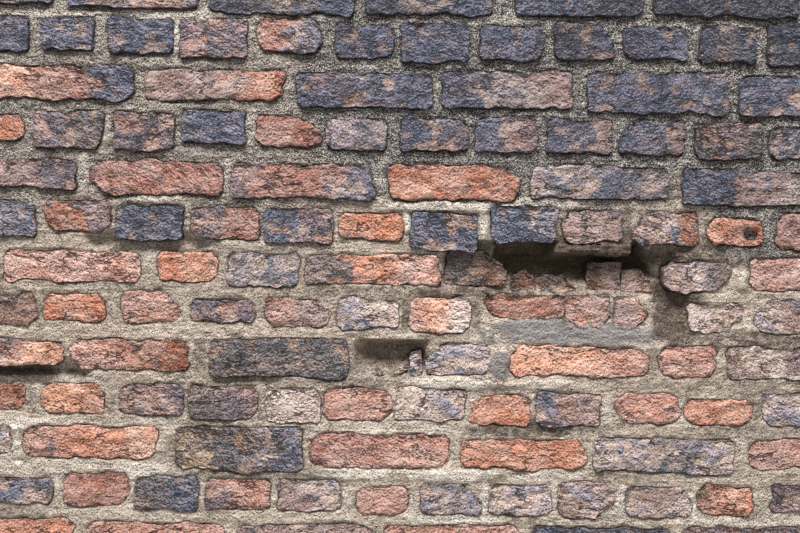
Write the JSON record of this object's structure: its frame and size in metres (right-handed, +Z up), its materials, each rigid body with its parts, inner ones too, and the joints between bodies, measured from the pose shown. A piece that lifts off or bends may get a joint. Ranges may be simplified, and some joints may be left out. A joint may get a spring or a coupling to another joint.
{
  "type": "length of old brick city wall",
  "caption": "Free-standing length of thick old brick wall in English cross bond, with worn faces, raked mortar joints, an eroded hollow, a missing brick face and an undercut bed.",
  "frame": {"origin": "at ground level, at the middle of the wall's length and thickness", "axes": "+X along the wall, +Y from the front face to the back face, +Z up"},
  "size_m": [1.458, 0.72, 1.125],
  "materials": {
    "brick": "matt, worn",
    "mortar": "matt, sandy"
  },
  "bodies": {
    "root": {"mortar_bed_01": "mortar", "header_course_01": "brick", "mortar_bed_02": "mortar", "stretcher_course_02": "brick", "mortar_bed_03": "mortar", "header_course_03": "brick", "mortar_bed_04": "mortar", "stretcher_course_04": "brick", "mortar_bed_05": "mortar", "header_course_05": "brick", "mortar_bed_06": "mortar", "stretcher_course_06": "brick", "mortar_bed_07": "mortar", "header_course_07": "brick", "mortar_bed_08": "mortar", "stretcher_course_08": "brick", "mortar_bed_09": "mortar", "header_course_09": "brick", "mortar_bed_10": "mortar", "stretcher_course_10": "brick", "mortar_bed_11": "mortar", "header_course_11": "brick", "mortar_bed_12": "mortar", "stretcher_course_12": "brick", "mortar_bed_13": "mortar", "header_course_13": "brick", "mortar_bed_14": "mortar", "stretcher_course_14": "brick", "mortar_bed_15": "mortar", "header_course_15": "brick"}
  },
  "joints": []
}
